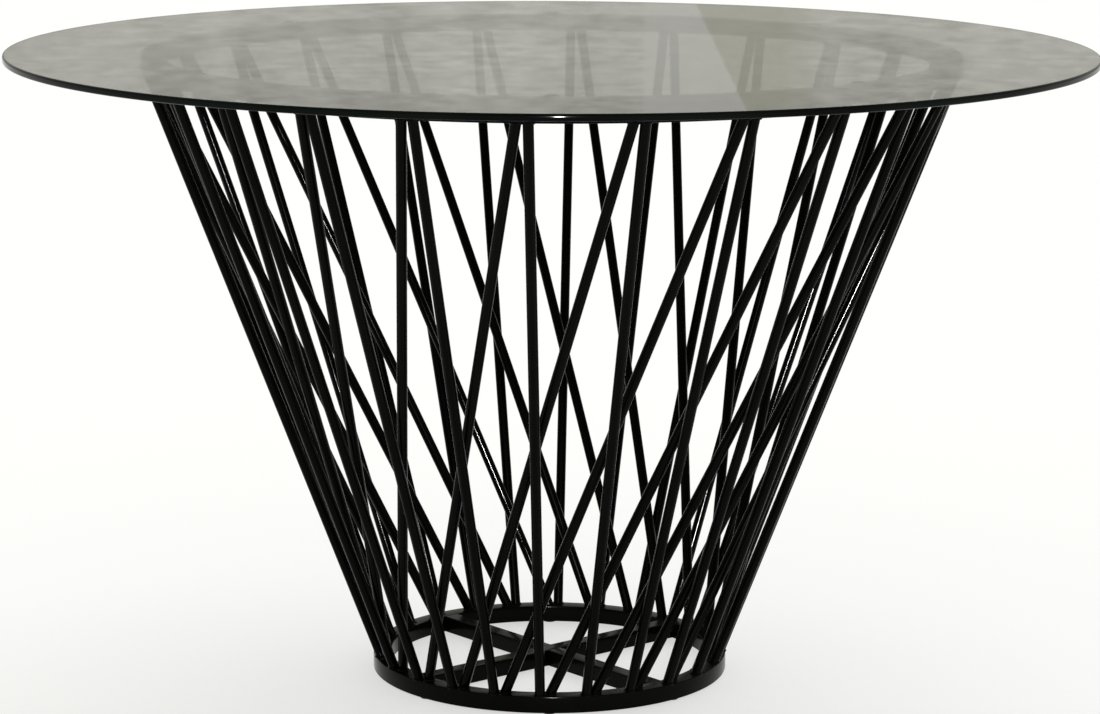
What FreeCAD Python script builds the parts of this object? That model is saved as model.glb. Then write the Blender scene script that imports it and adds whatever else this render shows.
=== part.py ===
import FreeCAD, Part
import Sketcher
import os

# A round table: a loose glass disc resting on a steel basket of paired rods.
# Millimetres, +Z up. The origin is on the floor under the centre of the glass.
# The front is -Y, and angles about Z are counted from the front towards +X.

SIZES = (
    ("table_height", 762),
    ("glass_diameter", 1300),
    ("glass_thickness", 8),
    ("glass_edge_radius", 2.5),
    ("glass_pad_diameter", 18),
    ("glass_pad_thickness", 2),
    ("glass_pad_count", 8),
    ("upper_ring_diameter", 978),
    ("upper_ring_width", 22),
    ("upper_ring_height", 20),
    ("lower_ring_diameter", 434),
    ("lower_ring_width", 22),
    ("lower_ring_height", 20),
    ("ring_edge_radius", 1),
    ("rod_diameter", 12),
    ("rod_top_margin", 8),
    ("rod_foot_margin", 1),
    ("pair_gap", 1),
    ("pair_count", 24),
    ("first_pair_angle", -3),
    ("rake_steps", 3),
    ("cross_bar_width", 20),
    ("cross_angle", 40),
    ("floor_pad_diameter", 16),
    ("floor_pad_thickness", 2),
    ("floor_pad_count", 8),
)

doc = FreeCAD.newDocument("rod_basket_table")
sheet = doc.addObject("Spreadsheet::Sheet", "Sizes")
for row, (alias, value) in enumerate(SIZES, start=1):
    sheet.set(f"A{row}", alias)
    sheet.set(f"B{row}", str(value))
    sheet.setAlias(f"B{row}", alias)
doc.recompute()

# Heights, from the top down and from the floor up.
GLASS_UNDERSIDE = "(Sizes.table_height - Sizes.glass_thickness)"
UPPER_RING_TOP = f"({GLASS_UNDERSIDE} - Sizes.glass_pad_thickness)"
UPPER_RING_UNDERSIDE = f"({UPPER_RING_TOP} - Sizes.upper_ring_height)"
LOWER_RING_UNDERSIDE = "Sizes.floor_pad_thickness"
LOWER_RING_TOP = f"({LOWER_RING_UNDERSIDE} + Sizes.lower_ring_height)"

# Radii of the rings' walls and of the rods' axes where they meet the rings.
UPPER_RING_INSIDE = "(Sizes.upper_ring_diameter / 2 - Sizes.upper_ring_width)"
LOWER_RING_INSIDE = "(Sizes.lower_ring_diameter / 2 - Sizes.lower_ring_width)"
ROD_RADIUS = "(Sizes.rod_diameter / 2)"
ROD_TOP_RADIUS = f"({UPPER_RING_INSIDE} + {ROD_RADIUS} + Sizes.rod_top_margin)"
UPRIGHT_FOOT_RADIUS = f"(Sizes.lower_ring_diameter / 2 - {ROD_RADIUS} - Sizes.rod_foot_margin)"
# A raked rod stands half a rod further in, so that it passes behind the uprights.
RAKED_FOOT_RADIUS = f"({UPRIGHT_FOOT_RADIUS} - {ROD_RADIUS})"

# The two rods of a pair stand side by side, a small gap apart, at both ends. At the
# foot the raked rod is also further in, so it takes a smaller step sideways there.
PAIR_PITCH = "(360 / round(Sizes.pair_count))"
PAIR_SPACING = "(Sizes.rod_diameter + Sizes.pair_gap)"
FOOT_STEP = f"sqrt({PAIR_SPACING} ^ 2 - {ROD_RADIUS} ^ 2)"
RAKED_TOP_ANGLE = f"(-{PAIR_SPACING} / {ROD_TOP_RADIUS} * 180 / pi)"
RAKED_FOOT_ANGLE = (
    f"({FOOT_STEP} / {RAKED_FOOT_RADIUS} * 180 / pi - Sizes.rake_steps * {PAIR_PITCH})"
)


def turned(angle):
    """A placement turned about the table's axis by an angle in degrees."""
    return f"placement(vector(0; 0; 0); rotation(vector(0; 0; 1); {angle}))"


def at(radius, angle, height):
    """The coordinates of a point at a radius, an angle from the front and a height."""
    return (f"{radius} * sin({angle})", f"-1 * {radius} * cos({angle})", height)


def body_plane(body, role):
    return next(plane for plane in body.Origin.OriginFeatures if plane.Role == role)


def round_body(label, diameters, underside, height, edge_radius):
    """A disc, or a ring for two diameters, with its circular edges rounded over."""
    body = doc.addObject("PartDesign::Body", label)
    body.Label = label
    sketch = body.newObject("Sketcher::SketchObject", f"{label}_outline")
    sketch.AttachmentSupport = (body_plane(body, "XY_Plane"), [""])
    sketch.MapMode = "FlatFace"
    sketch.setExpression("AttachmentOffset.Base.z", underside)
    for index, diameter in enumerate(diameters):
        start_radius = 100 / (index + 1)
        circle = Part.Circle(FreeCAD.Vector(0, 0, 0), FreeCAD.Vector(0, 0, 1), start_radius)
        sketch.addGeometry(circle)
        sketch.addConstraint(Sketcher.Constraint("Coincident", index, 3, -1, 1))
        sketch.addConstraint(Sketcher.Constraint("Diameter", index, 2 * start_radius))
        last = sketch.ConstraintCount - 1
        sketch.renameConstraint(last, f"diameter_{index + 1}")
        sketch.setExpression(f"Constraints.diameter_{index + 1}", diameter)
    pad = body.newObject("PartDesign::Pad", f"{label}_pad")
    pad.Profile = sketch
    pad.setExpression("Length", height)
    doc.recompute()
    rims = [
        f"Edge{number}"
        for number, edge in enumerate(pad.Shape.Edges, start=1)
        if isinstance(edge.Curve, Part.Circle)
    ]
    fillet = body.newObject("PartDesign::Fillet", f"{label}_rims")
    fillet.Base = (pad, rims)
    fillet.setExpression("Radius", edge_radius)
    body.Tip = fillet
    return body


def bar_along(name, foot, top):
    """A round bar on the line from foot to top, longer at both ends for the trim."""
    line = doc.addObject("Part::Line", f"{name}_line")
    for axis, start, end in zip("XYZ", foot, top):
        line.setExpression(f"{axis}1", start)
        line.setExpression(f"{axis}2", end)
    doc.recompute()
    begin = [f"({line.Name}.{axis}1 / 1 mm)" for axis in "XYZ"]
    reach = [f"({line.Name}.{axis}2 / 1 mm - {start})" for axis, start in zip("XYZ", begin)]
    length = "sqrt(" + " + ".join(f"{step} ^ 2" for step in reach) + ")"
    overrun = "(2 * Sizes.rod_diameter)"
    base = "; ".join(
        f"{start} - {step} * {overrun} / {length}" for start, step in zip(begin, reach)
    )
    lean = f"rotation(vector(-1 * {reach[1]}; {reach[0]}; 0); acos({reach[2]} / {length}))"
    bar = doc.addObject("Part::Cylinder", f"{name}_bar")
    bar.setExpression("Radius", ROD_RADIUS)
    bar.setExpression("Height", f"{length} + 2 * {overrun}")
    bar.setExpression("Placement", f"placement(vector({base}); {lean})")
    return bar


def trimmed(label, stock, trim, angle):
    """The part of the stock inside the trim, turned to its place about the table's axis."""
    piece = doc.addObject("Part::Common", label)
    piece.Label = label
    piece.Base = stock
    piece.Tool = trim
    piece.setExpression("Placement", turned(angle))
    return piece


def slice_between(name, radius, underside, height):
    """A plain disc that trims stock to a radius and to two level faces."""
    disc = doc.addObject("Part::Cylinder", name)
    disc.setExpression("Radius", radius)
    disc.setExpression("Height", height)
    disc.setExpression("Placement.Base.z", underside)
    return disc


def box_stock(name, length, width, corner_x, corner_y):
    """Square bar as high as the lower ring, from a corner at the ring's underside."""
    box = doc.addObject("Part::Box", name)
    box.setExpression("Length", length)
    box.setExpression("Width", width)
    box.setExpression("Height", "Sizes.lower_ring_height")
    box.setExpression("Placement.Base.x", corner_x)
    box.setExpression("Placement.Base.y", corner_y)
    box.setExpression("Placement.Base.z", LOWER_RING_UNDERSIDE)
    return box


def pad_circle(label, count, diameter, thickness, circle_radius, underside):
    """A group of equal round pads, evenly spaced on a circle."""
    pads = []
    for index in range(count):
        pad = doc.addObject("Part::Cylinder", f"{label}_{index + 1:02d}")
        pad.setExpression("Radius", f"{diameter} / 2")
        pad.setExpression("Height", thickness)
        place = at(circle_radius, f"({index} * 360 / {count})", underside)
        pad.setExpression("Placement.Base.x", place[0])
        pad.setExpression("Placement.Base.y", place[1])
        pad.setExpression("Placement.Base.z", place[2])
        pads.append(pad)
    group = doc.addObject("Part::Compound", label)
    group.Label = label
    group.Links = pads
    return group


# The glass disc and what it rests on.
glass_top = round_body(
    "glass_top",
    ["Sizes.glass_diameter"],
    GLASS_UNDERSIDE,
    "Sizes.glass_thickness",
    "Sizes.glass_edge_radius",
)
glass_pads = pad_circle(
    "glass_pads",
    round(sheet.glass_pad_count),
    "Sizes.glass_pad_diameter",
    "Sizes.glass_pad_thickness",
    "(Sizes.upper_ring_diameter / 2 - Sizes.upper_ring_width / 2)",
    UPPER_RING_TOP,
)

# The two rings that the rods are welded between.
upper_ring = round_body(
    "upper_ring",
    ["Sizes.upper_ring_diameter", f"2 * {UPPER_RING_INSIDE}"],
    UPPER_RING_UNDERSIDE,
    "Sizes.upper_ring_height",
    "Sizes.ring_edge_radius",
)
lower_ring = round_body(
    "lower_ring",
    ["Sizes.lower_ring_diameter", f"2 * {LOWER_RING_INSIDE}"],
    LOWER_RING_UNDERSIDE,
    "Sizes.lower_ring_height",
    "Sizes.ring_edge_radius",
)

# The rods: in each pair an upright leans straight out, and a raked one runs
# from beside its head to beside the foot of the upright some pairs further on.
upright_bar = bar_along(
    "upright",
    at(UPRIGHT_FOOT_RADIUS, "0", LOWER_RING_TOP),
    at(ROD_TOP_RADIUS, "0", UPPER_RING_UNDERSIDE),
)
raked_bar = bar_along(
    "raked",
    at(RAKED_FOOT_RADIUS, RAKED_FOOT_ANGLE, LOWER_RING_TOP),
    at(ROD_TOP_RADIUS, RAKED_TOP_ANGLE, UPPER_RING_UNDERSIDE),
)
between_rings = slice_between(
    "between_rings",
    "Sizes.upper_ring_diameter + Sizes.lower_ring_diameter",
    LOWER_RING_TOP,
    f"{UPPER_RING_UNDERSIDE} - {LOWER_RING_TOP}",
)
rods = []
for index in range(round(sheet.pair_count)):
    pair_angle = f"Sizes.first_pair_angle + {index} * {PAIR_PITCH}"
    rods.append(trimmed(f"upright_rod_{index + 1:02d}", upright_bar, between_rings, pair_angle))
    rods.append(trimmed(f"raked_rod_{index + 1:02d}", raked_bar, between_rings, pair_angle))

# The cross inside the lower ring: one bar from wall to wall and a half bar on each side.
HALF_BAR = "(Sizes.cross_bar_width / 2)"
ring_hole = slice_between(
    "ring_hole", LOWER_RING_INSIDE, LOWER_RING_UNDERSIDE, "Sizes.lower_ring_height"
)
long_stock = box_stock(
    "long_stock",
    f"2 * {LOWER_RING_INSIDE}",
    "Sizes.cross_bar_width",
    f"-1 * {LOWER_RING_INSIDE}",
    f"-1 * {HALF_BAR}",
)
half_stock = box_stock(
    "half_stock",
    "Sizes.cross_bar_width",
    f"{LOWER_RING_INSIDE} - {HALF_BAR}",
    f"-1 * {HALF_BAR}",
    HALF_BAR,
)
cross_bars = [
    trimmed("cross_bar_long", long_stock, ring_hole, "Sizes.cross_angle"),
    trimmed("cross_bar_left", half_stock, ring_hole, "Sizes.cross_angle"),
    trimmed("cross_bar_right", half_stock, ring_hole, "Sizes.cross_angle + 180"),
]

# Thin pads that keep the lower ring off the floor.
floor_pads = pad_circle(
    "floor_pads",
    round(sheet.floor_pad_count),
    "Sizes.floor_pad_diameter",
    "Sizes.floor_pad_thickness",
    "(Sizes.lower_ring_diameter / 2 - Sizes.lower_ring_width / 2)",
    "0",
)

doc.recompute()
nodes = [glass_top, glass_pads, upper_ring, *rods, lower_ring, *cross_bars, floor_pads]
for item in doc.Objects:
    if "Invalid" in item.State or "Error" in item.State:
        raise RuntimeError(f"{item.Name} could not be made: {item.State}")
for node in nodes:
    if node.Shape.isNull() or not node.Shape.isValid():
        raise RuntimeError(f"{node.Label} has no valid shape")

os.makedirs("parts", exist_ok=True)
for node in nodes:
    node.Shape.exportStep(f"parts/{node.Label}.step")
    print(node.Label, len(node.Shape.Solids), round(node.Shape.Volume))
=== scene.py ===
# %% [markdown]
# # A round glass table on a basket of rods
# The table has two halves. A disc of smoked glass lies loose on top, held by its own weight, and under
# it stands a welded basket: forty-eight straight steel rods between a wide ring and a narrow ring. The
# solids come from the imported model, which is a fixed frame here. Every piece below is made in the same
# place and size as the solid that it stands for, and only its surface is finer.

# %% Load the frame
import math

import bmesh
import bpy
from mathutils import Matrix, Vector


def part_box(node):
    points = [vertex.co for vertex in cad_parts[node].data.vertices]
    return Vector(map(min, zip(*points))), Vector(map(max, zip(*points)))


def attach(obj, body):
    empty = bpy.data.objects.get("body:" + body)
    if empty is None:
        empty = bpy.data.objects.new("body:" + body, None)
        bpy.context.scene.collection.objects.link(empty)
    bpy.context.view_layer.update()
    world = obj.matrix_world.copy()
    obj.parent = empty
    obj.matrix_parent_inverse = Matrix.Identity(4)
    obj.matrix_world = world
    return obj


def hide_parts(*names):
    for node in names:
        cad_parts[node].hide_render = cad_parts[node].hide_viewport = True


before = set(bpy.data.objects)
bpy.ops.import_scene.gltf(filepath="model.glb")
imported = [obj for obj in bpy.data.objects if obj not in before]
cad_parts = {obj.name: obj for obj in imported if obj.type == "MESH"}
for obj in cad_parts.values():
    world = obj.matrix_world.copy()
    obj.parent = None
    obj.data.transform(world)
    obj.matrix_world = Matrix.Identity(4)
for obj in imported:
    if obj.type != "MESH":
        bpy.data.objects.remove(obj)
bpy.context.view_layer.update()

# %% [markdown]
# ## Taking the sizes
# A maker would put a tape on the finished basket before dressing it. The same is done here: the main
# sizes are read from the solids, so a resized model is followed by itself. Only the small edge rounds
# and the number of pads are typed in, further down. A ring's radii are the smallest and the largest
# distance of its points from the table's axis, and a rod's end is the middle of its lowest or highest
# rim.

# %% Measure rings, glass and rods
SAME_LEVEL = 1e-5
SAME_SPOT_DIGITS = 6


def points_of(node):
    return [vertex.co.copy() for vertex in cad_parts[node].data.vertices]


def radii(node):
    spread = [math.hypot(point.x, point.y) for point in points_of(node)]
    return min(spread), max(spread)


def rim_points(node, level):
    near = [point for point in points_of(node) if abs(point.z - level) < SAME_LEVEL]
    single = {tuple(round(value, SAME_SPOT_DIGITS) for value in point.xy) for point in near}
    return [Vector((x, y, level)) for x, y in sorted(single)]


def rod_ends(node):
    low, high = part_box(node)
    ends = []
    for level in (low.z, high.z):
        rim = rim_points(node, level)
        ends.append(sum(rim, Vector()) / len(rim))
    return ends


GLASS_LOW, GLASS_HIGH = (corner.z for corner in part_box("glass_top"))
GLASS_RADIUS = radii("glass_top")[1]
UPRIGHT_FOOT, UPRIGHT_HEAD = rod_ends("upright_rod_01")
RAKED_FOOT, RAKED_HEAD = rod_ends("raked_rod_01")
UPRIGHTS = sorted(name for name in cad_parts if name.startswith("upright_rod"))
RAKED = sorted(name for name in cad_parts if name.startswith("raked_rod"))
ROD_AXIS = (UPRIGHT_HEAD - UPRIGHT_FOOT).normalized()
ROD_RIM = rim_points("upright_rod_01", UPRIGHT_FOOT.z)
ROD_RADIUS = max((point - UPRIGHT_FOOT).cross(ROD_AXIS).length for point in ROD_RIM)
print("glass", round(2 * GLASS_RADIUS, 4), "m wide,", round(GLASS_HIGH - GLASS_LOW, 4), "m thick")
print("rods:", len(UPRIGHTS), "upright and", len(RAKED), "raked,", round(2 * ROD_RADIUS, 4), "m thick")

# %% [markdown]
# ## One small tool for node trees
# Blender's node trees can be wired by hand, link by link, but sums soon become hard to read that way.
# So a socket is wrapped in a class that knows how to add and multiply: each operator adds one Math
# node, or one Vector Math node where a vector takes part. Every other node comes from a single method
# that takes the node's type, its settings and what goes into its sockets. Shaders and Geometry Nodes
# both use it.

# %% Wrap sockets so that they work in sums


class Wire:
    """An output socket that can be used in a sum. The sign | takes the larger of two values."""

    def __init__(self, net, socket):
        self.net = net
        self.socket = socket

    def out(self, name):
        return Wire(self.net, self.socket.node.outputs[name])

    def is_vector(self):
        return self.socket.type == "VECTOR"

    def __add__(self, other):
        return self.net.join("ADD", self, other)

    def __radd__(self, other):
        return self.net.join("ADD", other, self)

    def __sub__(self, other):
        return self.net.join("SUBTRACT", self, other)

    def __rsub__(self, other):
        return self.net.join("SUBTRACT", other, self)

    def __mul__(self, other):
        return self.net.join("MULTIPLY", self, other)

    def __rmul__(self, other):
        return self.net.join("MULTIPLY", other, self)

    def __truediv__(self, other):
        return self.net.join("DIVIDE", self, other)

    def __rtruediv__(self, other):
        return self.net.join("DIVIDE", other, self)

    def __gt__(self, other):
        return self.net.join("GREATER_THAN", self, other)

    def __lt__(self, other):
        return self.net.join("LESS_THAN", self, other)

    def __or__(self, other):
        return self.net.join("MAXIMUM", self, other)

    def __ror__(self, other):
        return self.net.join("MAXIMUM", other, self)


class Net:
    """A node tree that is built from calls."""

    def __init__(self, tree):
        self.tree = tree

    def node(self, kind, settings=None, sockets=None, output=0):
        made = self.tree.nodes.new(kind)
        for name, value in (settings or {}).items():
            setattr(made, name, value)
        for key, value in (sockets or {}).items():
            if isinstance(value, Wire):
                self.tree.links.new(value.socket, made.inputs[key])
            else:
                made.inputs[key].default_value = value
        return Wire(self, made.outputs[output])

    def join(self, operation, first, second):
        pair = [first, second]
        if any(self.holds_vector(value) for value in pair):
            pair = [(value,) * 3 if isinstance(value, (int, float)) else value for value in pair]
            kind = "ShaderNodeVectorMath"
        else:
            kind = "ShaderNodeMath"
        return self.node(kind, {"operation": operation}, dict(enumerate(pair)))

    def holds_vector(self, value):
        return value.is_vector() if isinstance(value, Wire) else isinstance(value, (tuple, Vector))

    def noise(self, place, scale, detail=2.0, distortion=0.0):
        sockets = {"Vector": place, "Scale": scale, "Detail": detail, "Distortion": distortion}
        return self.node("ShaderNodeTexNoise", {}, sockets)

    def bump(self, height, strength, depth):
        """A ripple for the Normal socket, with its depth in metres."""
        sockets = {"Height": height, "Strength": strength, "Distance": depth}
        return self.node("ShaderNodeBump", {}, sockets)

    def stretched(self, place, scale):
        """The place with each axis scaled, so that a pattern on it is drawn out."""
        return self.node("ShaderNodeMapping", {}, {"Vector": place, "Scale": scale})

    def between(self, value, low, high):
        """How far value lies on the way from low to high, held between 0 and 1."""
        sockets = {"Value": value, "From Min": low, "From Max": high}
        return self.node("ShaderNodeMapRange", {"clamp": True}, sockets)

    def blend(self, share, first, second):
        """A colour between two. A Mix node has sockets for every kind, and 6 and 7 are its colours."""
        sockets = {0: share, 6: first, 7: second}
        return self.node("ShaderNodeMix", {"data_type": "RGBA"}, sockets, output=2)


def new_finish(name):
    """An empty material, its net, and the place on the piece that its patterns read."""
    finish = bpy.data.materials.new(name)
    finish.use_nodes = True
    finish.node_tree.nodes.clear()
    net = Net(finish.node_tree)
    place = net.node("ShaderNodeTexCoord", output="Object")
    return finish, net, place


def cover(net, sockets):
    """The Principled shader of a finish, wired to the material's surface."""
    shader = net.node("ShaderNodeBsdfPrincipled", {}, sockets)
    end = net.tree.nodes.new("ShaderNodeOutputMaterial")
    net.tree.links.new(shader.socket, end.inputs["Surface"])
    return shader, end


print("node tools ready")

# %% [markdown]
# ## Black coat on the steel
# The basket is one colour all over: a smooth black stoved paint, so the rods read as near black with a
# thin bright line where they catch a lamp. A flat black would look like a hole, so three things vary.
# The gloss drifts slowly along the bars, a fine orange-peel ripple breaks up the highlights, and a
# breath of dust lies near the floor. Faces that point upwards are paler too: partly dust, and partly a
# painted sheen that stands in for the room's light on them. The specular level is low, so that the
# pale room doesn't turn the black grey, and stays one number on its own socket.

# %% Make the black coat
COAT_BLACK = (0.0014, 0.0014, 0.0012, 1.0)
COAT_WORN = (0.0030, 0.0030, 0.0027, 1.0)
# The pale colour below is dust, and on faces that point up it is also a painted sheen.
COAT_DUST_AND_SHEEN = (0.0200, 0.0190, 0.0170, 1.0)
COAT_ROUGHNESS = 0.09
COAT_SPECULAR = 0.04
PEEL_STRENGTH = 0.25
PEEL_DEPTH = 0.0002
DUST_REACH = 0.10
# How much paler upward faces are painted: dust and a painted sheen together.
SHEEN_AND_DUST_ON_TOP = 0.35
DUST_LOW_DOWN = 0.15


def make_black_coat():
    finish, net, place = new_finish("black_coat")
    drift = net.noise(place, 7.0, detail=3.0)
    peel = net.noise(place, 380.0, detail=1.5)
    speck = net.noise(place, 1400.0, detail=2.0)
    height = net.node("ShaderNodeSeparateXYZ", {}, {0: place}).out("Z")
    facing = net.node("ShaderNodeNewGeometry", output="Normal")
    upward = net.between(net.node("ShaderNodeSeparateXYZ", {}, {0: facing}).out("Z"), 0.6, 1.0)
    low_down = 1.0 - net.between(height, 0.0, DUST_REACH)
    patchy = net.between(speck * 0.5 + drift * 0.5, 0.42, 0.62)
    # Paler on faces that point up (dust and painted sheen) and near the floor (dust), in patches.
    dust_and_sheen = (upward * SHEEN_AND_DUST_ON_TOP + low_down * DUST_LOW_DOWN) * patchy
    paint = net.blend(net.between(drift, 0.35, 0.70), COAT_BLACK, COAT_WORN)
    colour = net.blend(dust_and_sheen, paint, COAT_DUST_AND_SHEEN)
    cover(net, {
        "Base Color": colour,
        "Roughness": COAT_ROUGHNESS + net.between(drift, 0.3, 0.7) * 0.05 + dust_and_sheen * 0.45,
        "Normal": net.bump(peel + speck * 0.2, PEEL_STRENGTH, PEEL_DEPTH),
        "Specular IOR Level": COAT_SPECULAR,
    })
    return finish


BLACK_COAT = make_black_coat()
print("finish:", BLACK_COAT.name, len(BLACK_COAT.node_tree.nodes), "nodes")

# %% [markdown]
# ## Smoked glass
# The top is float glass coloured in the mass: grey with a little green, and darker the longer the way
# that light takes through it. A Volume Absorption does just that, but a viewer that traces no rays
# hardly shows it. So most of the colour is written on the surface, where every viewer finds it, and
# the rest sits inside. Faint wiping marks change the gloss a little. Lamps have to reach the floor
# through the top, so shadow rays meet a plain transparent surface with a tint of about that strength.

# %% Make the smoked glass
GLASS_TINT = (0.390, 0.397, 0.374, 1.0)
GLASS_WIPED = (0.372, 0.380, 0.356, 1.0)
LAMP_TINT = (0.70, 0.705, 0.69, 1.0)
SMOKE_COLOUR = (0.45, 0.46, 0.42, 1.0)
SMOKE_DENSITY = 56.0
GLASS_ROUGHNESS = 0.006
GLASS_IOR = 1.50
WAVE_STRENGTH = 0.06
WAVE_DEPTH = 0.0004


def make_smoked_glass():
    finish, net, place = new_finish("smoked_glass")
    swept = net.stretched(place, (1.0, 3.2, 1.0))
    wiped = net.between(net.noise(swept, 3.5, detail=4.0, distortion=1.4), 0.48, 0.78)
    specks = net.between(net.noise(place, 260.0, detail=2.0), 0.66, 0.74)
    wavy = net.noise(place, 4.0, detail=1.0)
    colour = net.blend(wiped * 0.6 + specks * 0.2, GLASS_TINT, GLASS_WIPED)
    shader, end = cover(net, {
        "Base Color": colour,
        "Roughness": wiped * 0.030 + specks * 0.02 + GLASS_ROUGHNESS,
        "Normal": net.bump(wavy, WAVE_STRENGTH, WAVE_DEPTH),
        "IOR": GLASS_IOR,
        "Transmission Weight": 1.0,
    })
    ray = net.node("ShaderNodeLightPath", output="Is Shadow Ray")
    open_way = net.node("ShaderNodeBsdfTransparent", {}, {"Color": LAMP_TINT})
    mixed = net.node("ShaderNodeMixShader", {}, {0: ray, 1: shader, 2: open_way})
    net.tree.links.new(mixed.socket, end.inputs["Surface"])
    smoke_sockets = {"Color": SMOKE_COLOUR, "Density": SMOKE_DENSITY}
    smoke = net.node("ShaderNodeVolumeAbsorption", {}, smoke_sockets)
    net.tree.links.new(smoke.socket, end.inputs["Volume"])
    return finish


SMOKED_GLASS = make_smoked_glass()
print("finish:", SMOKED_GLASS.name, len(SMOKED_GLASS.node_tree.nodes), "nodes")

# %% [markdown]
# ## Ground edge of the glass, painted dark
# The edge of the disc was ground round and polished. Light that goes in there crosses the whole sheet
# and is swallowed, so the edge reads as a deep green-black line that frames the top. That shade is
# painted here: the edge faces get an opaque green-black colour instead of glass. The grinder leaves
# faint marks along the rim, so the gloss and the height follow a noise that is drawn out round the
# table's axis.

# %% Make the ground edge
# Painted shade: the near-black and dark green of light lost inside the glass, on opaque edge faces.
EDGE_PAINTED_SHADE = (0.0012, 0.0022, 0.0017, 1.0)
EDGE_PAINTED_GREEN_SHADE = (0.0030, 0.0060, 0.0044, 1.0)
EDGE_ROUGHNESS = 0.02
EDGE_SPECULAR = 0.05
MARKS_STRENGTH = 0.12
MARKS_DEPTH = 0.0002


def make_painted_dark_ground_edge():
    finish, net, place = new_finish("ground_edge")
    marks = net.noise(net.stretched(place, (1.0, 1.0, 40.0)), 24.0, detail=3.0)
    cloud = net.noise(place, 6.0, detail=2.0)
    colour = net.blend(net.between(cloud, 0.35, 0.65), EDGE_PAINTED_SHADE, EDGE_PAINTED_GREEN_SHADE)
    cover(net, {
        "Base Color": colour,
        "Roughness": EDGE_ROUGHNESS + marks * 0.05,
        "Normal": net.bump(marks, MARKS_STRENGTH, MARKS_DEPTH),
        "Specular IOR Level": EDGE_SPECULAR,
    })
    return finish


PAINTED_DARK_GROUND_EDGE = make_painted_dark_ground_edge()
print("finish:", PAINTED_DARK_GROUND_EDGE.name, len(PAINTED_DARK_GROUND_EDGE.node_tree.nodes), "nodes")

# %% [markdown]
# ## Soft pads
# Glass never lies bare on steel: small clear pads keep it from sliding and ringing. They are soft
# plastic, a little cloudy, with a skin that scatters the light. Under the bottom ring sit thin pads of
# dark pressed felt that keep the steel off the floor. Its fibres are a fine stretched noise that lifts
# the surface.

# %% Make the pad finishes
PLASTIC_CLOUDY = (0.74, 0.77, 0.74, 1.0)
PLASTIC_CLEAR = (0.88, 0.90, 0.87, 1.0)
PLASTIC_ROUGHNESS = 0.22
PLASTIC_IOR = 1.43
PLASTIC_CLEARNESS = 0.85
SKIN_STRENGTH = 0.2
SKIN_DEPTH = 0.0002
FELT_BLACK = (0.010, 0.010, 0.010, 1.0)
FELT_GREY = (0.045, 0.044, 0.042, 1.0)
FELT_ROUGHNESS = 0.85
FELT_SPECULAR = 0.2
NAP_STRENGTH = 0.6
NAP_DEPTH = 0.0005


def make_clear_soft_plastic():
    finish, net, place = new_finish("clear_soft_plastic")
    cloud = net.noise(place, 120.0, detail=2.0)
    skin = net.noise(place, 900.0, detail=2.0)
    cover(net, {
        "Base Color": net.blend(cloud, PLASTIC_CLOUDY, PLASTIC_CLEAR),
        "Roughness": PLASTIC_ROUGHNESS + cloud * 0.2,
        "Normal": net.bump(skin, SKIN_STRENGTH, SKIN_DEPTH),
        "IOR": PLASTIC_IOR,
        "Transmission Weight": PLASTIC_CLEARNESS,
    })
    return finish


def make_dark_felt():
    finish, net, place = new_finish("dark_felt")
    combed = net.stretched(place, (1.0, 2.6, 5.0))
    fibre = net.noise(combed, 900.0, detail=4.0, distortion=0.8)
    cover(net, {
        "Base Color": net.blend(fibre, FELT_BLACK, FELT_GREY),
        "Roughness": FELT_ROUGHNESS + fibre * 0.15,
        "Normal": net.bump(fibre, NAP_STRENGTH, NAP_DEPTH),
        "Specular IOR Level": FELT_SPECULAR,
    })
    return finish


CLEAR_SOFT_PLASTIC = make_clear_soft_plastic()
DARK_FELT = make_dark_felt()
print("finishes:", CLEAR_SOFT_PLASTIC.name, "and", DARK_FELT.name)

# %% [markdown]
# ## The glass top
# The disc was cut from a sheet and its edge ground to a soft round. A cylinder with a bevel would do,
# but a turned profile gives full control of the edge, and the edge is what the eye follows along the
# whole front. So half a section is drawn as points of radius and height and spun about the axis. An
# extra ring of points just inside the rounded edge keeps the flat faces truly flat under smooth
# shading.

# %% Turn a profile and make the glass top
GLASS_EDGE = 0.0025
GLASS_EDGE_STEPS = 6
GLASS_TURNS = 360
GLASS_RINGS = (0.1, 0.4, 0.7, 0.9)
GROUND_SHARE = 0.9
FLAT_MARGIN = 0.4
ON_AXIS = 1e-9
SHARP_CORNER = math.radians(40.0)


def corner(radius, height, size, start, steps):
    """A quarter round about a centre, from the angle start, in degrees, counter-clockwise."""
    turns = [math.radians(start + 90.0 * step / steps) for step in range(steps + 1)]
    return [(radius + size * math.cos(turn), height + size * math.sin(turn)) for turn in turns]


def turned(name, profile, turns, closed, finish):
    """A profile of (radius, height) points spun about the Z axis. Points on the axis become one pole."""
    form = bmesh.new()
    rows = []
    for radius, height in profile:
        if radius < ON_AXIS:
            rows.append([form.verts.new((0.0, 0.0, height))] * turns)
            continue
        angles = [2.0 * math.pi * turn / turns for turn in range(turns)]
        spots = [(radius * math.cos(angle), radius * math.sin(angle), height) for angle in angles]
        rows.append([form.verts.new(spot) for spot in spots])
    pairs = list(zip(rows, rows[1:]))
    if closed:
        pairs.append((rows[-1], rows[0]))
    for near, far in pairs:
        for turn in range(turns):
            after = (turn + 1) % turns
            loop = [near[turn], near[after], far[after], far[turn]]
            form.faces.new(list(dict.fromkeys(loop)))
    return finished(name, form, finish)


def finished(name, form, finish):
    """Turns a bmesh into an object with outward faces, smooth rounds and crisp corners."""
    bmesh.ops.recalc_face_normals(form, faces=form.faces)
    for face in form.faces:
        face.smooth = True
    for edge in form.edges:
        edge.smooth = edge.calc_face_angle(0.0) < SHARP_CORNER
    mesh = bpy.data.meshes.new(name)
    form.to_mesh(mesh)
    form.free()
    mesh.materials.append(finish)
    piece = bpy.data.objects.new(name, mesh)
    bpy.context.collection.objects.link(piece)
    return piece


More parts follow.
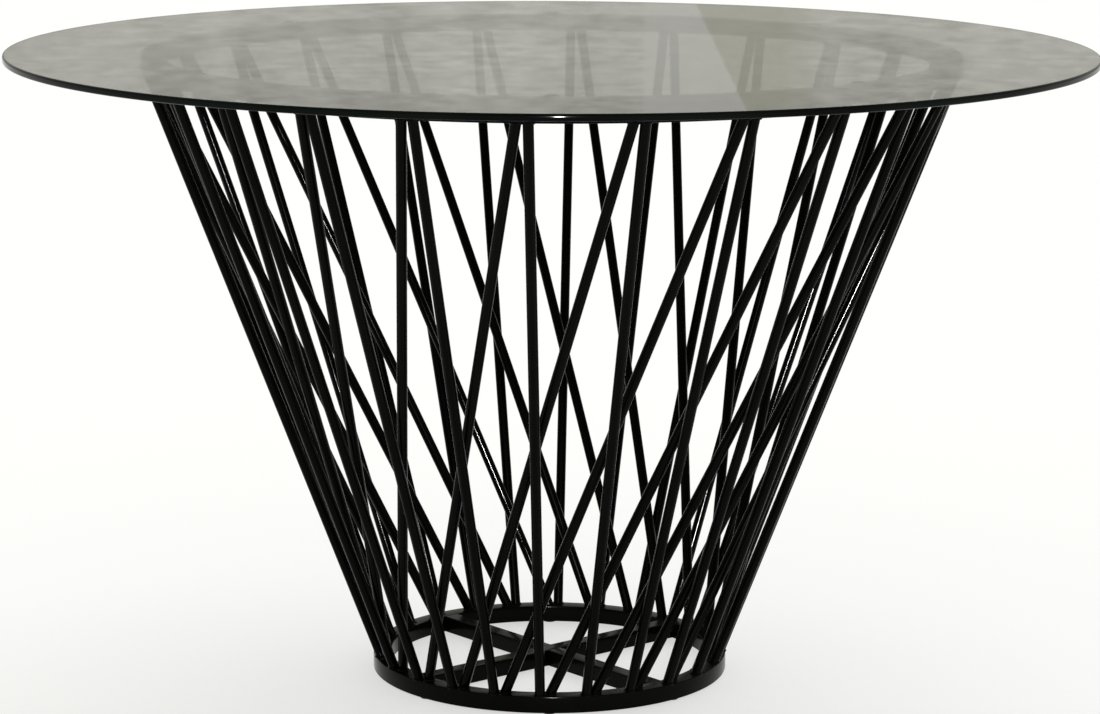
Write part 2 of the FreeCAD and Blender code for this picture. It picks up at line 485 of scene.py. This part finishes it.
def disc_profile(radius, low, high, edge, rings, steps):
    """Half the section of a disc with rounded edges, from the axis below round to the axis above."""
    inner = radius - edge
    flat = [radius * share for share in rings] + [inner - FLAT_MARGIN * edge]
    under = [(spot, low) for spot in flat]
    over = [(spot, high) for spot in reversed(flat)]
    below = corner(inner, low + edge, edge, -90.0, steps)
    above = corner(inner, high - edge, edge, 0.0, steps)
    return [(0.0, low)] + under + below + above + over + [(0.0, high)]


def settle(piece, body, slot, *nodes):
    """Gives a finished piece its body and hides the solids that it stands for; slot is not used."""
    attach(piece, body)
    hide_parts(*nodes)
    print(piece.name, "stands for", len(nodes), "solids with", len(piece.data.polygons), "faces")


glass_form = (GLASS_RADIUS, GLASS_LOW, GLASS_HIGH, GLASS_EDGE)
glass_section = disc_profile(*glass_form, GLASS_RINGS, GLASS_EDGE_STEPS)
glass_top = turned("smoked_glass_top", glass_section, GLASS_TURNS, False, SMOKED_GLASS)
# The rim faces take the edge finish that is painted dark, not the glass.
glass_top.data.materials.append(PAINTED_DARK_GROUND_EDGE)
for face in glass_top.data.polygons:
    if math.hypot(face.center.x, face.center.y) > GLASS_RADIUS - GROUND_SHARE * GLASS_EDGE:
        face.material_index = 1
settle(glass_top, "glass", "smoked_glass", "glass_top")

# %% [markdown]
# ## The two rings
# Each ring is a square bar rolled into a hoop, with the small round corner that drawn bar has. It could
# be a torus with a square section, but the same turning helper does it: the section is a closed loop of
# points, so the spin has no poles. The corner round is what gives the ring its fine bright line.

# %% Turn the rings
BAR_CORNER = 0.0012
BAR_CORNER_STEPS = 4
UPPER_TURNS = 288
LOWER_TURNS = 216


def bar_section(node):
    """The closed section of a ring, corner by corner from the outer one below."""
    inner, outer = radii(node)
    low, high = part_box(node)
    near = inner + BAR_CORNER
    far = outer - BAR_CORNER
    bottom = low.z + BAR_CORNER
    top = high.z - BAR_CORNER
    loop = []
    for index, centre in enumerate([(far, bottom), (far, top), (near, top), (near, bottom)]):
        loop += corner(*centre, BAR_CORNER, 90.0 * index - 90.0, BAR_CORNER_STEPS)
    return loop


upper_ring = turned("upper_hoop", bar_section("upper_ring"), UPPER_TURNS, True, BLACK_COAT)
settle(upper_ring, "base", "black_steel", "upper_ring")
lower_ring = turned("lower_hoop", bar_section("lower_ring"), LOWER_TURNS, True, BLACK_COAT)
settle(lower_ring, "base", "black_steel", "lower_ring")

# %% [markdown]
# ## The basket of rods
# All the rods of one kind are the same bar, turned step by step about the table's axis, so this is a
# rule and Geometry Nodes suit it. The tree makes one round bar, leans it from its foot to its head, and
# copies it round the circle. The bar is sheared rather than tilted: its ends stay level, as a bar that
# is sawn to sit flat on a ring, and the section is widened along the lean so that it stays truly round
# across the bar.

# %% Build the rod tree and grow both sets of rods
ROD_SIDES = 28
CRISP_CORNER = math.radians(50.0)


def start_tree(name, inputs):
    """A Geometry Nodes tree with named inputs."""
    tree = bpy.data.node_groups.new(name, "GeometryNodeTree")
    for label, kind in inputs.items():
        tree.interface.new_socket(label, in_out="INPUT", socket_type=kind)
    tree.interface.new_socket("Geometry", in_out="OUTPUT", socket_type="NodeSocketGeometry")
    net = Net(tree)
    entry = tree.nodes.new("NodeGroupInput")
    sizes = {label: Wire(net, entry.outputs[label]) for label in inputs}
    return net, sizes


def copies_round(net, shape, count):
    """The shape copied about the Z axis in equal steps."""
    spots = net.node("GeometryNodePoints", {}, {"Count": count})
    step = net.node("GeometryNodeInputIndex") * (2.0 * math.pi / count)
    turn = net.node("ShaderNodeCombineXYZ", {}, {"Z": step})
    sockets = {"Points": spots, "Instance": shape, "Rotation": turn}
    return net.node("GeometryNodeInstanceOnPoints", {}, sockets)


def end_tree(net, shape, finish):
    """Makes the copies real, shades them smooth with crisp corners, and gives them their finish."""
    real = net.node("GeometryNodeRealizeInstances", {}, {"Geometry": shape})
    smooth_sockets = {"Geometry": real, "Shade Smooth": True}
    smooth = net.node("GeometryNodeSetShadeSmooth", {"domain": "FACE"}, smooth_sockets)
    hard = net.node("GeometryNodeInputMeshEdgeAngle") > CRISP_CORNER
    crisp_sockets = {"Geometry": smooth, "Selection": hard, "Shade Smooth": False}
    crisp = net.node("GeometryNodeSetShadeSmooth", {"domain": "EDGE"}, crisp_sockets)
    dressed = net.node("GeometryNodeSetMaterial", {}, {"Geometry": crisp, "Material": finish})
    end = net.tree.nodes.new("NodeGroupOutput")
    net.tree.links.new(dressed.socket, end.inputs[0])
    return net


def grow(name, net, values):
    """Runs a tree once and keeps what it made as a plain mesh."""
    seed = bpy.data.objects.new(name + "_seed", bpy.data.meshes.new(name + "_seed"))
    bpy.context.collection.objects.link(seed)
    maker = seed.modifiers.new("grow", "NODES")
    maker.node_group = net.tree
    for item in net.tree.interface.items_tree:
        if item.in_out == "INPUT":
            maker[item.identifier] = values[item.name]
    graph = bpy.context.evaluated_depsgraph_get()
    mesh = bpy.data.meshes.new_from_object(seed.evaluated_get(graph), depsgraph=graph)
    mesh.name = name
    bpy.data.objects.remove(seed)
    piece = bpy.data.objects.new(name, mesh)
    bpy.context.collection.objects.link(piece)
    return piece


def lean_axes(net, reach):
    """The level directions along and across a bar's lean, and how far its level section widens."""
    lean = net.node("ShaderNodeVectorMath", {"operation": "NORMALIZE"}, {0: reach * (1.0, 1.0, 0.0)})
    across_sockets = {0: (0.0, 0.0, 1.0), 1: lean}
    across = net.node("ShaderNodeVectorMath", {"operation": "CROSS_PRODUCT"}, across_sockets)
    long = net.node("ShaderNodeVectorMath", {"operation": "LENGTH"}, {0: reach}, output="Value")
    rise = net.node("ShaderNodeSeparateXYZ", {}, {0: reach}).out("Z")
    return lean, across, long / rise


def make_rod_tree():
    net, size = start_tree("rods_round_a_circle", {
        "Foot": "NodeSocketVector",
        "Head": "NodeSocketVector",
        "Rod Radius": "NodeSocketFloat",
        "Sides": "NodeSocketInt",
        "Count": "NodeSocketInt",
    })
    bar_sockets = {"Vertices": size["Sides"], "Radius": 1.0, "Depth": 1.0}
    bar = net.node("GeometryNodeMeshCylinder", {"fill_type": "NGON"}, bar_sockets)
    spot = net.node("ShaderNodeSeparateXYZ", {}, {0: net.node("GeometryNodeInputPosition")})
    reach = size["Head"] - size["Foot"]
    lean, across, widen = lean_axes(net, reach)
    along = reach * (spot.out("Z") + 0.5)
    section = lean * (spot.out("X") * widen) + across * spot.out("Y")
    place = size["Foot"] + along + section * size["Rod Radius"]
    leaned = net.node("GeometryNodeSetPosition", {}, {"Geometry": bar, "Position": place})
    return end_tree(net, copies_round(net, leaned, size["Count"]), BLACK_COAT)


ROD_TREE = make_rod_tree()
rod_sizes = {"Rod Radius": ROD_RADIUS, "Sides": ROD_SIDES}
upright_sizes = dict(rod_sizes, Foot=UPRIGHT_FOOT, Head=UPRIGHT_HEAD, Count=len(UPRIGHTS))
upright_rods = grow("upright_rods", ROD_TREE, upright_sizes)
settle(upright_rods, "base", "black_steel", *UPRIGHTS)
raked_sizes = dict(rod_sizes, Foot=RAKED_FOOT, Head=RAKED_HEAD, Count=len(RAKED))
raked_rods = grow("raked_rods", ROD_TREE, raked_sizes)
settle(raked_rods, "base", "black_steel", *RAKED)

# %% [markdown]
# ## Weld beads
# Every rod is welded to both rings, and the weld leaves a small rounded collar that softens the corner
# between bar and ring. A full fillet would need the bars and rings joined into one mesh. A thin bead
# that follows the rod's outline on the ring gives the same look, so a circle is leaned like the rod's
# end and swept with a small round section, whose size pulses a little, as the ripples of a weld do.

# %% Build the bead tree and grow the welds
BEAD_RADIUS = 0.0018
BEAD_RIPPLES = 9
BEAD_SWELL = 0.14
BEAD_STEPS = 28
BEAD_SIDES = 6


def make_bead_tree():
    net, size = start_tree("weld_beads_round_a_circle", {
        "Centre": "NodeSocketVector",
        "Reach": "NodeSocketVector",
        "Rod Radius": "NodeSocketFloat",
        "Bead Radius": "NodeSocketFloat",
        "Ripples": "NodeSocketInt",
        "Count": "NodeSocketInt",
    })
    outline_sockets = {"Resolution": BEAD_STEPS, "Radius": 1.0}
    outline = net.node("GeometryNodeCurvePrimitiveCircle", {"mode": "RADIUS"}, outline_sockets)
    spot = net.node("ShaderNodeSeparateXYZ", {}, {0: net.node("GeometryNodeInputPosition")})
    lean, across, widen = lean_axes(net, size["Reach"])
    section = lean * (spot.out("X") * widen) + across * spot.out("Y")
    place = size["Centre"] + section * size["Rod Radius"]
    path = net.node("GeometryNodeSetPosition", {}, {"Geometry": outline, "Position": place})
    share = net.node("GeometryNodeSplineParameter", output="Factor")
    phase = share * size["Ripples"] * (2.0 * math.pi)
    wave = net.node("ShaderNodeMath", {"operation": "SINE"}, {0: phase})
    round_sockets = {"Resolution": BEAD_SIDES, "Radius": size["Bead Radius"]}
    profile = net.node("GeometryNodeCurvePrimitiveCircle", {"mode": "RADIUS"}, round_sockets)
    sweep_sockets = {"Curve": path, "Profile Curve": profile, "Scale": 1.0 + wave * BEAD_SWELL}
    bead = net.node("GeometryNodeCurveToMesh", {}, sweep_sockets)
    return end_tree(net, copies_round(net, bead, size["Count"]), BLACK_COAT)


BEAD_TREE = make_bead_tree()
bead_sizes = {"Rod Radius": ROD_RADIUS, "Bead Radius": BEAD_RADIUS, "Ripples": BEAD_RIPPLES}
UPRIGHT_REACH = UPRIGHT_HEAD - UPRIGHT_FOOT
RAKED_REACH = RAKED_HEAD - RAKED_FOOT
weld_spots = [
    ("upright_foot_welds", UPRIGHT_FOOT, UPRIGHT_REACH, len(UPRIGHTS)),
    ("upright_head_welds", UPRIGHT_HEAD, UPRIGHT_REACH, len(UPRIGHTS)),
    ("raked_foot_welds", RAKED_FOOT, RAKED_REACH, len(RAKED)),
    ("raked_head_welds", RAKED_HEAD, RAKED_REACH, len(RAKED)),
]
for weld_name, centre, reach, count in weld_spots:
    welds = grow(weld_name, BEAD_TREE, dict(bead_sizes, Centre=centre, Reach=reach, Count=count))
    settle(welds, "base", "black_steel")

# %% [markdown]
# ## The cross in the bottom ring
# Two flat-sided bars cross inside the bottom ring and stiffen it. One runs right across, and the other
# is cut in two and butts against it. Each outer end is shaped to the ring's inside, so the plan of a
# bar is a strip with a curved end. The plan is drawn as points, pulled up to the bar's height, and its
# long edges are rounded.

# %% Draw the bars of the cross
HOOP_INSIDE = radii("lower_ring")[0]
CROSS_LOW, CROSS_HIGH = (spot.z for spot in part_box("cross_bar_long"))
OFF_CENTRE = 0.01
SAME_DIRECTION = 0.999
COPE_STEPS = 8


def long_direction(node):
    """The level direction in which a bar is longest, as an angle."""
    points = points_of(node)
    mid = sum(points, Vector()) / len(points)
    if math.hypot(mid.x, mid.y) > OFF_CENTRE:
        return math.atan2(mid.y, mid.x)
    mixed = sum(point.x * point.y for point in points)
    spread = sum(point.x ** 2 - point.y ** 2 for point in points)
    return 0.5 * math.atan2(2.0 * mixed, spread)


def bar_width(node):
    angle = long_direction(node)
    across = [point.y * math.cos(angle) - point.x * math.sin(angle) for point in points_of(node)]
    return max(across) - min(across)


def coped_end(width):
    """Points across a bar's end where it meets the inside of the ring."""
    spots = [width * (step / COPE_STEPS - 0.5) for step in range(COPE_STEPS + 1)]
    return [(math.sqrt(HOOP_INSIDE ** 2 - spot ** 2), spot) for spot in spots]


def cross_bar(name, node, plan):
    form = bmesh.new()
    turn = Matrix.Rotation(long_direction(node), 3, "Z")
    verts = [form.verts.new(turn @ Vector((along, across, CROSS_LOW))) for along, across in plan]
    bottom = form.faces.new(verts)
    lifted = bmesh.ops.extrude_face_region(form, geom=[bottom])
    raised = [item for item in lifted["geom"] if isinstance(item, bmesh.types.BMVert)]
    bmesh.ops.translate(form, verts=raised, vec=(0.0, 0.0, CROSS_HIGH - CROSS_LOW))
    direction = turn @ Vector((1.0, 0.0, 0.0))
    long_edges = []
    for edge in form.edges:
        run = edge.verts[1].co - edge.verts[0].co
        if run.length > HOOP_INSIDE / 2 and abs(run.normalized().dot(direction)) > SAME_DIRECTION:
            long_edges.append(edge)
    rounding = {"offset": BAR_CORNER, "segments": BAR_CORNER_STEPS, "profile": 0.5}
    bmesh.ops.bevel(form, geom=long_edges, affect="EDGES", **rounding)
    piece = finished(name, form, BLACK_COAT)
    settle(piece, "base", "black_steel", node)


cross_width = bar_width("cross_bar_long")
outer_end = coped_end(cross_width)
far_end = [(-along, -across) for along, across in outer_end]
cross_bar("cross_through_bar", "cross_bar_long", outer_end + far_end)
butt_end = [(cross_width / 2, cross_width / 2), (cross_width / 2, -cross_width / 2)]
cross_bar("cross_left_bar", "cross_bar_left", outer_end + butt_end)
cross_bar("cross_right_bar", "cross_bar_right", outer_end + butt_end)
cross_turn = math.degrees(long_direction("cross_bar_long"))
print("cross bars", round(cross_width, 4), "m wide at", round(cross_turn, 1), "degrees")

# %% [markdown]
# ## Pads round the rings
# The pads repeat round a circle too, so one pad is turned from a profile with soft edges and a small
# tree sets copies of it round the ring. Where the circle starts is read from the solids: for pads in
# equal steps, the mean of all the points' angles, taken modulo one step, gives the turn of the whole
# set.

# %% Set the pads round both rings
PAD_COUNT = 8
PAD_TURNS = 24
PAD_EDGE = 0.3
PAD_EDGE_STEPS = 3
PAD_RINGS = (0.5,)


def pad_circle(node):
    """The circle's radius, one pad's radius and the circle's turn."""
    points = points_of(node)
    near, far = radii(node)
    angles = [PAD_COUNT * math.atan2(point.y, point.x) for point in points]
    turn = math.atan2(sum(map(math.sin, angles)), sum(map(math.cos, angles))) / PAD_COUNT
    return (near + far) / 2, (far - near) / 2, turn


def make_pad_tree(finish):
    inputs = {"Pad": "NodeSocketObject", "Offset": "NodeSocketVector", "Count": "NodeSocketInt"}
    net, size = start_tree("pads_round_a_circle", inputs)
    pad = net.node("GeometryNodeObjectInfo", {}, {"Object": size["Pad"]}, output="Geometry")
    moved = net.node("GeometryNodeSetPosition", {}, {"Geometry": pad, "Offset": size["Offset"]})
    return end_tree(net, copies_round(net, moved, size["Count"]), finish)


def set_pads(name, node, finish, slot):
    circle, radius, turn = pad_circle(node)
    low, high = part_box(node)
    edge = PAD_EDGE * (high.z - low.z)
    section = disc_profile(radius, low.z, high.z, edge, PAD_RINGS, PAD_EDGE_STEPS)
    pad = turned(name + "_one", section, PAD_TURNS, False, finish)
    offset = Vector((circle * math.cos(turn), circle * math.sin(turn), 0.0))
    pads = grow(name, make_pad_tree(finish), {"Pad": pad, "Offset": offset, "Count": PAD_COUNT})
    bpy.data.objects.remove(pad)
    settle(pads, "base", slot, node)


set_pads("clear_rests", "glass_pads", CLEAR_SOFT_PLASTIC, "clear_pad")
set_pads("felt_feet", "floor_pads", DARK_FELT, "floor_pad")

# %% [markdown]
# ## Floor
# The table stands on a plain pale floor that runs far enough back to fill the picture. Studio floors
# are lit from all sides until they are nearly white, and more lamps here would also bleach the table.
# So to the eye, in a mirror or through the glass, part of the floor is plain white paper, and the rest
# is paint that keeps the shadow.

# %% Lay the floor
FLOOR_HALF = 400.0
FLOOR_SQUARES = 8
FLOOR_DULL = (0.935, 0.935, 0.933, 1.0)
FLOOR_PALE = (0.95, 0.95, 0.948, 1.0)
FLOOR_ROUGHNESS = 0.9
PAPER_WHITE = (1.0, 1.0, 0.995, 1.0)
PAPER_SHARE = 0.6


def make_floor_paint():
    finish, net, place = new_finish("pale_floor")
    cloud = net.noise(place, 0.8, detail=2.0)
    paint, end = cover(net, {
        "Base Color": net.blend(cloud, FLOOR_DULL, FLOOR_PALE),
        "Roughness": FLOOR_ROUGHNESS,
        "Specular IOR Level": 0.0,
    })
    ray = net.node("ShaderNodeLightPath", output="Is Camera Ray")
    seen = ray | ray.out("Is Glossy Ray") | ray.out("Is Transmission Ray")
    paper = net.node("ShaderNodeEmission", {}, {"Color": PAPER_WHITE, "Strength": 1.0})
    mixed = net.node("ShaderNodeMixShader", {}, {0: seen * PAPER_SHARE, 1: paint, 2: paper})
    net.tree.links.new(mixed.socket, end.inputs["Surface"])
    finish.cycles.emission_sampling = "NONE"
    return finish


form = bmesh.new()
bmesh.ops.create_grid(form, x_segments=FLOOR_SQUARES, y_segments=FLOOR_SQUARES, size=FLOOR_HALF)
floor = finished("floor", form, make_floor_paint())
print("floor", 2 * FLOOR_HALF, "m across")

# %% [markdown]
# ## The room round the table
# At a shallow angle the glass is half a mirror, so what stands round the table shows in it. Here that
# is a wall of rough courses, with a pale upright band behind the table and a dim band beside it. It
# could be modelled, but a picture in the world is enough. It is drawn by direction: how far to the side
# and how far up, both as shares of the way ahead. Only mirrors see it. As light the room is one pale
# colour, and to the eye and through the glass it is as white as the floor, so the background stays
# plain from every side.

# %% Paint the room
ROOM_LIGHT = (0.585, 0.581, 0.530, 1.0)
WALL_PALE = (0.685, 0.680, 0.620, 1.0)
WALL_DIM = (0.444, 0.441, 0.400, 1.0)
PALE_BAND = (0.618, 0.614, 0.569, 1.0)
PALE_BAND_START = (0.0260, 0.0272)
PALE_BAND_SHARE = 0.75
DIM_BAND = (0.473, 0.473, 0.386, 1.0)
DIM_BAND_END = (0.066, 0.080)
DIM_BAND_SHARE = 0.8
SEAM_LEAN = 0.49
SEAM_WIDTH = (-0.0024, -0.0014)


def draw_wall(net, way):
    """The wall as a colour by direction, with its two bands and the leaning seam between them."""
    tall = net.stretched(way, (30.0, 30.0, 5.0))
    level = net.stretched(way, (130.0, 130.0, 760.0))
    panels = net.between(net.noise(tall, 1.0, detail=2.0), 0.38, 0.62)
    courses = net.between(net.noise(level, 1.0, detail=4.0), 0.30, 0.70)
    wall = net.blend(panels * 0.35 + courses * 0.65, WALL_DIM, WALL_PALE)
    axes = net.node("ShaderNodeSeparateXYZ", {}, {0: way})
    ahead = axes.out("Y") > 0.5
    side = axes.out("X") / axes.out("Y")
    rise = axes.out("Z") / axes.out("Y")
    past_seam = net.between(side - rise * SEAM_LEAN, *SEAM_WIDTH)
    pale = ahead * net.between(side, *PALE_BAND_START) * (1.0 - past_seam)
    dim = ahead * past_seam * (1.0 - net.between(side, *DIM_BAND_END))
    banded = net.blend(pale * PALE_BAND_SHARE, wall, PALE_BAND)
    return net.blend(dim * DIM_BAND_SHARE, banded, DIM_BAND)


def paint_room():
    world = bpy.data.worlds.new("studio")
    bpy.context.scene.world = world
    world.use_nodes = True
    world.node_tree.nodes.clear()
    net = Net(world.node_tree)
    wall = draw_wall(net, net.node("ShaderNodeTexCoord", output="Generated"))
    ray = net.node("ShaderNodeLightPath", output="Is Camera Ray")
    plain = net.blend(ray | ray.out("Is Transmission Ray"), ROOM_LIGHT, PAPER_WHITE)
    colour = net.blend(ray.out("Is Glossy Ray"), plain, wall)
    glow = net.node("ShaderNodeBackground", {}, {"Color": colour, "Strength": 1.0})
    end = world.node_tree.nodes.new("ShaderNodeOutputWorld")
    world.node_tree.links.new(glow.socket, end.inputs["Surface"])
    return world


room = paint_room()
print("room:", len(room.node_tree.nodes), "nodes")

# %% [markdown]
# ## Light
# The light is a soft studio: the even room, and one wide lamp above and behind that gives the colours
# and the shadow. Two small lamps only make glints: one beside the camera draws the short bright lines on
# the rods, and one level with the rim puts a spark on the edge of the glass. Light linking keeps each of
# them to its own pieces, so the top shows no lamp from behind.

# %% Hang the lamps
MID = (0.0, 0.0, GLASS_LOW / 2)
WIDE_LAMP_SPOT = (0.7, 2.6, 3.4)
WIDE_LAMP_STRENGTH = 2.1
WIDE_LAMP_ANGLE = math.radians(60.0)
ROD_LAMP_SPOT = (0.12, -4.0, 1.26)
ROD_LAMP_POWER = 600.0
ROD_LAMP_SIZE = 0.11
RIM_LAMP_SPOT = (0.12, -4.0, GLASS_LOW - 0.06)
RIM_LAMP_POWER = 500.0
RIM_LAMP_SIZE = 0.05


def hang_lamp(name, kind, spot, energy, **shape):
    light = bpy.data.lights.new(name, kind)
    light.energy = energy
    for key, value in shape.items():
        setattr(light, key, value)
    lamp = bpy.data.objects.new(name, light)
    bpy.context.collection.objects.link(lamp)
    aim = (Vector(MID) - Vector(spot)).to_track_quat("-Z", "Y")
    lamp.matrix_world = Matrix.Translation(spot) @ aim.to_matrix().to_4x4()
    lamp.visible_camera = False
    lamp.visible_transmission = False
    return lamp


def only_glints(lamp, pieces):
    """Lets a lamp show in the gloss of some pieces and nowhere else."""
    lit = bpy.data.collections.new(lamp.name + "_pieces")
    for piece in pieces:
        lit.objects.link(piece)
    lamp.light_linking.receiver_collection = lit
    lamp.visible_diffuse = False


wide_sun = {"angle": WIDE_LAMP_ANGLE}
wide_lamp = hang_lamp("behind_and_above", "SUN", WIDE_LAMP_SPOT, WIDE_LAMP_STRENGTH, **wide_sun)
wide_lamp.visible_glossy = False
rod_disc = {"shape": "DISK", "size": ROD_LAMP_SIZE}
rod_lamp = hang_lamp("beside_camera", "AREA", ROD_LAMP_SPOT, ROD_LAMP_POWER, **rod_disc)
only_glints(rod_lamp, [upper_ring, lower_ring, upright_rods, raked_rods])
rim_disc = {"shape": "DISK", "size": RIM_LAMP_SIZE}
rim_lamp = hang_lamp("level_with_rim", "AREA", RIM_LAMP_SPOT, RIM_LAMP_POWER, **rim_disc)
only_glints(rim_lamp, [glass_top])
print("lamps:", [lamp.name for lamp in bpy.data.lights])

# %% [markdown]
# ## Camera
# The photograph was taken a little above the glass from about four metres away, with a long lens and
# the camera tipped down by eleven degrees. These numbers were found by fitting the rim of the glass and
# the ends of the rods, so the render and the photograph lie on top of each other. The place is in
# metres, the turns are in radians, and the lens and its sensor are in millimetres.

# %% Set up the camera
CAMERA_SPOT = (-0.0009, -4.1498, 1.1841)
CAMERA_DOWN = 0.1898
CAMERA_ROLL = 0.0043
LENS_LENGTH = 113.80
SENSOR_WIDTH = 36.0
VIEW_REACH = 1000.0

lens = bpy.data.cameras.new("photo_view")
lens.sensor_width = SENSOR_WIDTH
lens.sensor_fit = "HORIZONTAL"
lens.lens = LENS_LENGTH
lens.clip_end = VIEW_REACH
camera = bpy.data.objects.new("photo_view", lens)
bpy.context.collection.objects.link(camera)
tilt = Matrix.Rotation(math.pi / 2 - CAMERA_DOWN, 4, "X")
camera.matrix_world = Matrix.Translation(CAMERA_SPOT) @ tilt @ Matrix.Rotation(CAMERA_ROLL, 4, "Z")
bpy.context.scene.camera = camera
bpy.context.scene.view_settings.view_transform = "Standard"
print("camera", round((Vector(CAMERA_SPOT) - Vector(MID)).length, 3), "m from the middle of the table")
